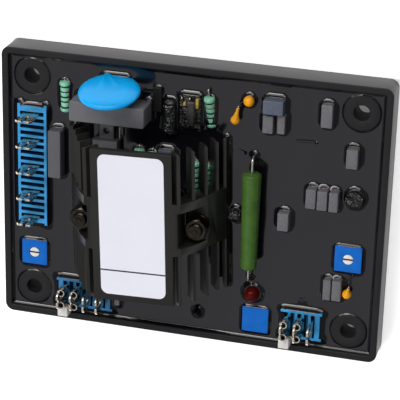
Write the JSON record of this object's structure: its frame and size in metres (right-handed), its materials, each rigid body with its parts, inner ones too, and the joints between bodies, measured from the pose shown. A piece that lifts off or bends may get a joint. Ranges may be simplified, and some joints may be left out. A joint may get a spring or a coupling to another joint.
{
  "type": "automatic voltage regulator",
  "caption": "Potted generator voltage regulator: circuit in a black tray with corner bosses, finned heatsink over it, slotted blade terminal strips and trimmers.",
  "frame": {"origin": "centre of the tray's back, on the mounting face", "axes": "+Z out of the tray's open face, +X along its width towards the side without the long terminal strip, +Y across it towards the side away from the short strips"},
  "size_m": [0.142, 0.1046, 0.034],
  "materials": {
    "tray_plastic": "satin black moulding",
    "potting": "poured resin, glossy",
    "board": "glass-epoxy laminate",
    "heatsink_black": "black anodised extrusion",
    "black_moulding": "black moulding",
    "plated_steel": "zinc plated",
    "label_white": "bare white label",
    "strip_blue": "blue moulding",
    "tinned_brass": "tin plated",
    "sleeve_white": "white sleeve",
    "trimmer_blue": "blue moulding",
    "rotor_cream": "cream moulding",
    "disc_blue": "blue epoxy coating",
    "box_grey": "dark grey case",
    "film_grey": "grey case",
    "bead_yellow": "yellow epoxy coating",
    "resistor_green": "pale green coating with colour bands",
    "enamel_green": "green vitreous enamel",
    "lamp_red": "tinted epoxy dome",
    "device_grey": "grey moulding",
    "transformer_brown": "taped winding in a frame"
  },
  "bodies": {
    "regulator": {"tray": "tray_plastic", "potting_resin": "potting", "circuit_board": "board", "heatsink": "heatsink_black", "power_module": "black_moulding", "heatsink_studs": "plated_steel", "heatsink_washers": "plated_steel", "heatsink_nuts": "plated_steel", "blank_label": "label_white", "terminal_strip_left": "strip_blue", "terminal_strip_lower_left": "strip_blue", "terminal_strip_lower_right": "strip_blue", "blades_left": "tinned_brass", "blades_lower_left": "tinned_brass", "blades_lower_right": "tinned_brass", "link_lower_left": "tinned_brass", "link_sleeve_lower_left": "sleeve_white", "link_lower_right": "tinned_brass", "link_sleeve_lower_right": "sleeve_white", "trimmer_body_left": "trimmer_blue", "trimmer_body_right": "trimmer_blue", "sealed_trimmer": "trimmer_blue", "disc_varistor": "disc_blue", "box_capacitor": "box_grey", "tall_film_capacitor": "box_grey", "bead_capacitor_upper": "bead_yellow", "bead_capacitor_leaning": "bead_yellow", "bead_capacitor_lower": "bead_yellow", "resistor_upper_left": "resistor_green", "resistor_upper_middle": "resistor_green", "resistor_under_top_1": "resistor_green", "resistor_under_top_2": "resistor_green", "resistor_between_fins_1": "resistor_green", "resistor_between_fins_2": "resistor_green", "power_resistor": "enamel_green", "power_resistor_leads": "plated_steel", "indicator_lamp": "lamp_red", "transistor_right": "black_moulding", "transistor_middle": "black_moulding", "switching_device": "device_grey", "pulse_transformer": "transformer_brown", "electrolytic_capacitor": "black_moulding", "moulded_diode": "black_moulding", "standing_diode": "black_moulding", "wire_link": "plated_steel", "film_capacitor_1": "film_grey", "film_capacitor_2": "film_grey", "film_capacitor_3": "film_grey", "film_capacitor_4": "film_grey", "film_capacitor_5": "film_grey", "film_capacitor_6": "film_grey", "film_capacitor_7": "film_grey", "film_capacitor_8": "film_grey", "film_capacitor_9": "film_grey", "film_capacitor_10": "film_grey", "film_capacitor_11": "film_grey", "film_capacitor_12": "film_grey", "film_capacitor_13": "film_grey"},
    "rotor_left": {"trimmer_rotor_left": "rotor_cream"},
    "rotor_right": {"trimmer_rotor_right": "rotor_cream"}
  },
  "joints": [
    {"name": "left_trimmer_turn", "type": "hinge", "parent": "regulator", "child": "rotor_left", "pos_m": [-0.0595, -0.02727, 0], "axis": [0, 0, 1], "range_deg": [-135, 135]},
    {"name": "right_trimmer_turn", "type": "hinge", "parent": "regulator", "child": "rotor_right", "pos_m": [0.05843, -0.01332, 0], "axis": [0, 0, 1], "range_deg": [-135, 135]}
  ]
}
